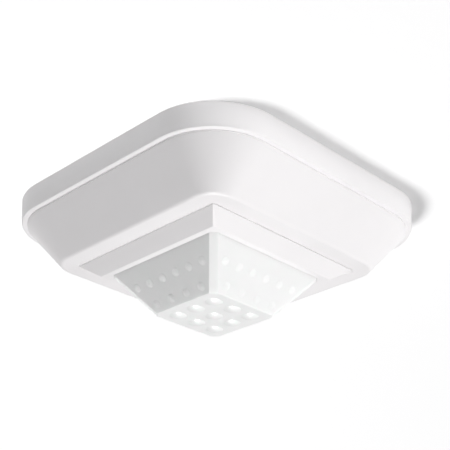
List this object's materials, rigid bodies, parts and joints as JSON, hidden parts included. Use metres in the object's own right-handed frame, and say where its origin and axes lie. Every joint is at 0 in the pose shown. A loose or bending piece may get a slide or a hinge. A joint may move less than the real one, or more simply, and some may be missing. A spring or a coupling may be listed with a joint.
{
  "type": "alarm siren",
  "caption": "Square stepped ceiling alarm siren with a tapered cover over a tray base, a translucent pyramid beacon lens and a piezo sounder inside.",
  "frame": {"origin": "centre of the mounting face, at the base's back", "axes": "+Z out of the mounting face towards the lens, X and Y along the square's sides; the cover's hooks are on the -Y side and its screw on the +Y side"},
  "size_m": [0.12, 0.12, 0.0442],
  "materials": {
    "white_plastic": "fine satin moulded plastic, off-white",
    "frosted_lens": "milky translucent moulded plastic with raised lenslets",
    "brass": "turned brass",
    "black_rubber": "soft black rubber",
    "grey_rubber": "grey silicone",
    "zinc_steel": "bright zinc plated steel",
    "natural_nylon": "natural nylon",
    "green_board": "green solder mask over glass board",
    "terminal_plastic": "green terminal plastic",
    "black_plastic": "black moulded plastic",
    "bobbin_plastic": "dark bobbin with varnished winding",
    "capacitor_sleeve": "dark blue sleeve with bare metal top",
    "red_lamp": "clear red lamp body",
    "spring_steel": "plated spring steel",
    "switch_plastic": "red switch body",
    "slider_plastic": "white slider",
    "trimmer_plastic": "blue trimmer body",
    "trimmer_metal": "brass adjuster",
    "ceramic": "silvered piezo ceramic",
    "white_board": "white solder mask over glass board",
    "lamp_body": "white package with pale yellow dome",
    "bright_reflector": "metallised plastic",
    "gold_pins": "gold plated pins",
    "battery_sleeve": "plain green battery sleeve"
  },
  "bodies": {
    "base": {"backup_battery": "battery_sleeve", "base_plate": "white_plastic", "battery_contacts": "spring_steel", "battery_holder": "black_plastic", "beacon_lamps": "lamp_body", "beacon_reflector": "bright_reflector", "board_screws": "zinc_steel", "boost_transformer": "bobbin_plastic", "brass_insert": "brass", "cable_grommet": "black_rubber", "circuit_board": "green_board", "controller_chip": "black_plastic", "lamp_board": "white_board", "lamp_posts": "brass", "lamp_screws": "zinc_steel", "link_pins": "gold_pins", "link_spacer": "black_plastic", "mode_switch_body": "switch_plastic", "post_nuts": "zinc_steel", "smoothing_capacitors": "capacitor_sleeve", "sounder_case": "black_plastic", "sounder_diaphragm": "brass", "sounder_element": "ceramic", "sounder_lid": "black_plastic", "status_lamp": "red_lamp", "tamper_body": "black_plastic", "tamper_cap": "black_plastic", "tamper_spring": "spring_steel", "terminal_block": "terminal_plastic", "terminal_screws": "zinc_steel", "trimmer_body": "trimmer_plastic"},
    "cover": {"front_cover": "white_plastic", "lens_bezel": "white_plastic", "beacon_lens": "frosted_lens", "lens_gasket": "grey_rubber", "bezel_screws": "zinc_steel", "screw_retainer": "natural_nylon"},
    "cover_screw": {"cover_screw": "zinc_steel"},
    "tamper_plunger": {"tamper_plunger": "natural_nylon"},
    "trimmer_rotor": {"trimmer_rotor": "trimmer_metal"},
    "mode_slider_1": {"mode_slider_1": "slider_plastic"},
    "mode_slider_2": {"mode_slider_2": "slider_plastic"},
    "mode_slider_3": {"mode_slider_3": "slider_plastic"},
    "mode_slider_4": {"mode_slider_4": "slider_plastic"}
  },
  "joints": [
    {"name": "cover_hinge", "type": "hinge", "parent": "base", "child": "cover", "pos_m": [0, -0.05695, 0.0092], "axis": [1, 0, 0], "range_deg": [0, 75]},
    {"name": "cover_screw_turn", "type": "hinge", "parent": "cover", "child": "cover_screw", "pos_m": [0, 0.049, 0.0132], "axis": [0, 0, 1], "continuous": true},
    {"name": "tamper_travel", "type": "slide", "parent": "base", "child": "tamper_plunger", "axis": [0, 0, 1], "range_m": [-0.0012, 0], "stiffness_N_per_m": 200, "springref_m": 0.002, "deforming": ["tamper_spring"]},
    {"name": "volume_turn", "type": "hinge", "parent": "base", "child": "trimmer_rotor", "pos_m": [-0.03, -0.0235, 0.013], "axis": [0, 0, 1], "range_deg": [-135, 135]},
    {"name": "mode_slide_1", "type": "slide", "parent": "base", "child": "mode_slider_1", "axis": [0, 1, 0], "range_m": [0, 0.0016]},
    {"name": "mode_slide_2", "type": "slide", "parent": "base", "child": "mode_slider_2", "axis": [0, 1, 0], "range_m": [0, 0.0016]},
    {"name": "mode_slide_3", "type": "slide", "parent": "base", "child": "mode_slider_3", "axis": [0, 1, 0], "range_m": [0, 0.0016]},
    {"name": "mode_slide_4", "type": "slide", "parent": "base", "child": "mode_slider_4", "axis": [0, 1, 0], "range_m": [0, 0.0016]}
  ]
}
